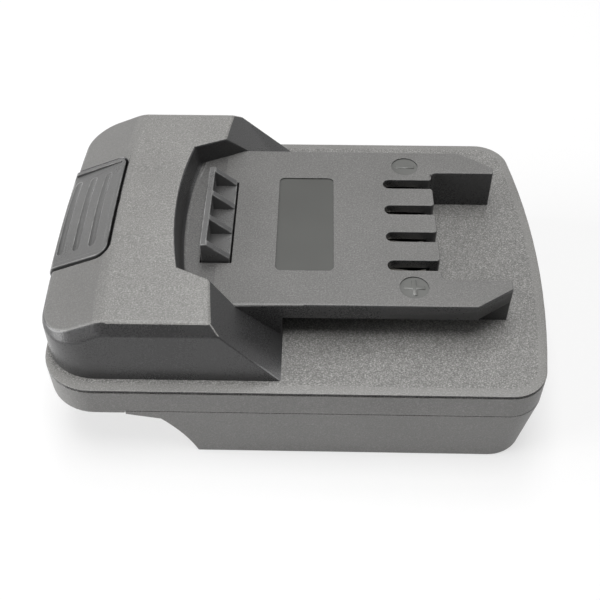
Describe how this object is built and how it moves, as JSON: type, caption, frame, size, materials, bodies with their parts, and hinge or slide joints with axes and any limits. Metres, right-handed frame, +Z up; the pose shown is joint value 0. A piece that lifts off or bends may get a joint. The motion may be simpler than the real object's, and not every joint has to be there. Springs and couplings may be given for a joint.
{
  "type": "tool battery adapter",
  "caption": "Slide-on battery adapter for cordless tools: undercut tool rails with slotted terminals, bevelled head with a sprung thumb latch, and an open battery channel underneath.",
  "frame": {"origin": "middle of the footprint, on the floor under the lips of the battery socket", "axes": "+X along the slide direction from the thumb button to the rail tips, +Y from the plus side to the minus side, +Z up"},
  "size_m": [0.109, 0.0806, 0.0391],
  "materials": {
    "cover_plastic": "fine spark-eroded grain, dark grey",
    "frame_plastic": "smooth matt, dark grey",
    "latch_plastic": "satin, dark grey",
    "inner_plastic": "smooth black",
    "terminal_metal": "bright spring bronze, pressed",
    "blade_metal": "nickel plated, pressed",
    "spring_steel": "drawn spring wire",
    "screw_steel": "black zinc",
    "insulation_plus": "smooth red sleeve",
    "insulation_signal": "smooth yellow sleeve",
    "insulation_sense": "smooth white sleeve",
    "insulation_minus": "smooth black sleeve"
  },
  "bodies": {
    "housing": {"top_cover": "cover_plastic", "middle_frame": "frame_plastic", "battery_socket": "frame_plastic", "latch_springs": "spring_steel", "contact_carrier": "inner_plastic", "terminal_plus": "terminal_metal", "terminal_signal": "terminal_metal", "terminal_sense": "terminal_metal", "terminal_minus": "terminal_metal", "blade_block": "inner_plastic", "blade_plus": "blade_metal", "blade_signal": "blade_metal", "blade_sense": "blade_metal", "blade_minus": "blade_metal", "lead_plus": "insulation_plus", "lead_signal": "insulation_signal", "lead_sense": "insulation_sense", "lead_minus": "insulation_minus", "socket_screws": "screw_steel", "frame_screws": "screw_steel", "carrier_screws": "screw_steel", "block_screws": "screw_steel"},
    "release_latch": {"release_latch": "latch_plastic"}
  },
  "joints": [
    {"name": "latch_press", "type": "slide", "parent": "housing", "child": "release_latch", "axis": [0, 0, -1], "range_m": [0, 0.0052], "stiffness_N_per_m": 1500, "springref_m": -0.002, "deforming": ["latch_springs"]}
  ]
}
